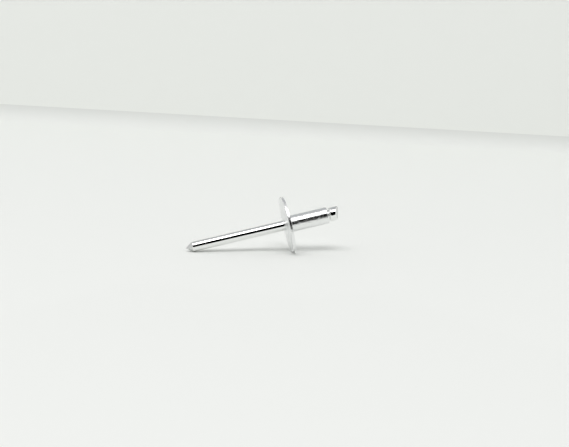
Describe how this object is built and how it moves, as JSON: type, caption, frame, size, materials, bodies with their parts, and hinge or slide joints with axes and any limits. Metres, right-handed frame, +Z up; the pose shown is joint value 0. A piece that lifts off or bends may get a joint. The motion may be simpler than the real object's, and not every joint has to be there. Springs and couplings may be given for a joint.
{
  "type": "large-flange blind rivet",
  "caption": "Unset blind rivet: aluminium sleeve with a wide, nearly flat flange on a pointed steel mandrel whose round head stands out of the sleeve's open end.",
  "frame": {"origin": "on the ground under the middle of the rivet's bounding box, with the rivet lying as it rests", "axes": "+X along the rivet on the ground, from the mandrel's point towards its head; +Z up. The rivet's own axis is tilted up from +X by 13.68 degrees"},
  "size_m": [0.0436, 0.0162, 0.0159],
  "materials": {
    "aluminium_body": "bright cold-headed aluminium, faint turning and drawing marks",
    "steel_mandrel": "bright drawn steel wire with a thin clear zinc coat"
  },
  "bodies": {
    "root": {"rivet_body": "aluminium_body", "mandrel": "steel_mandrel"}
  },
  "joints": []
}
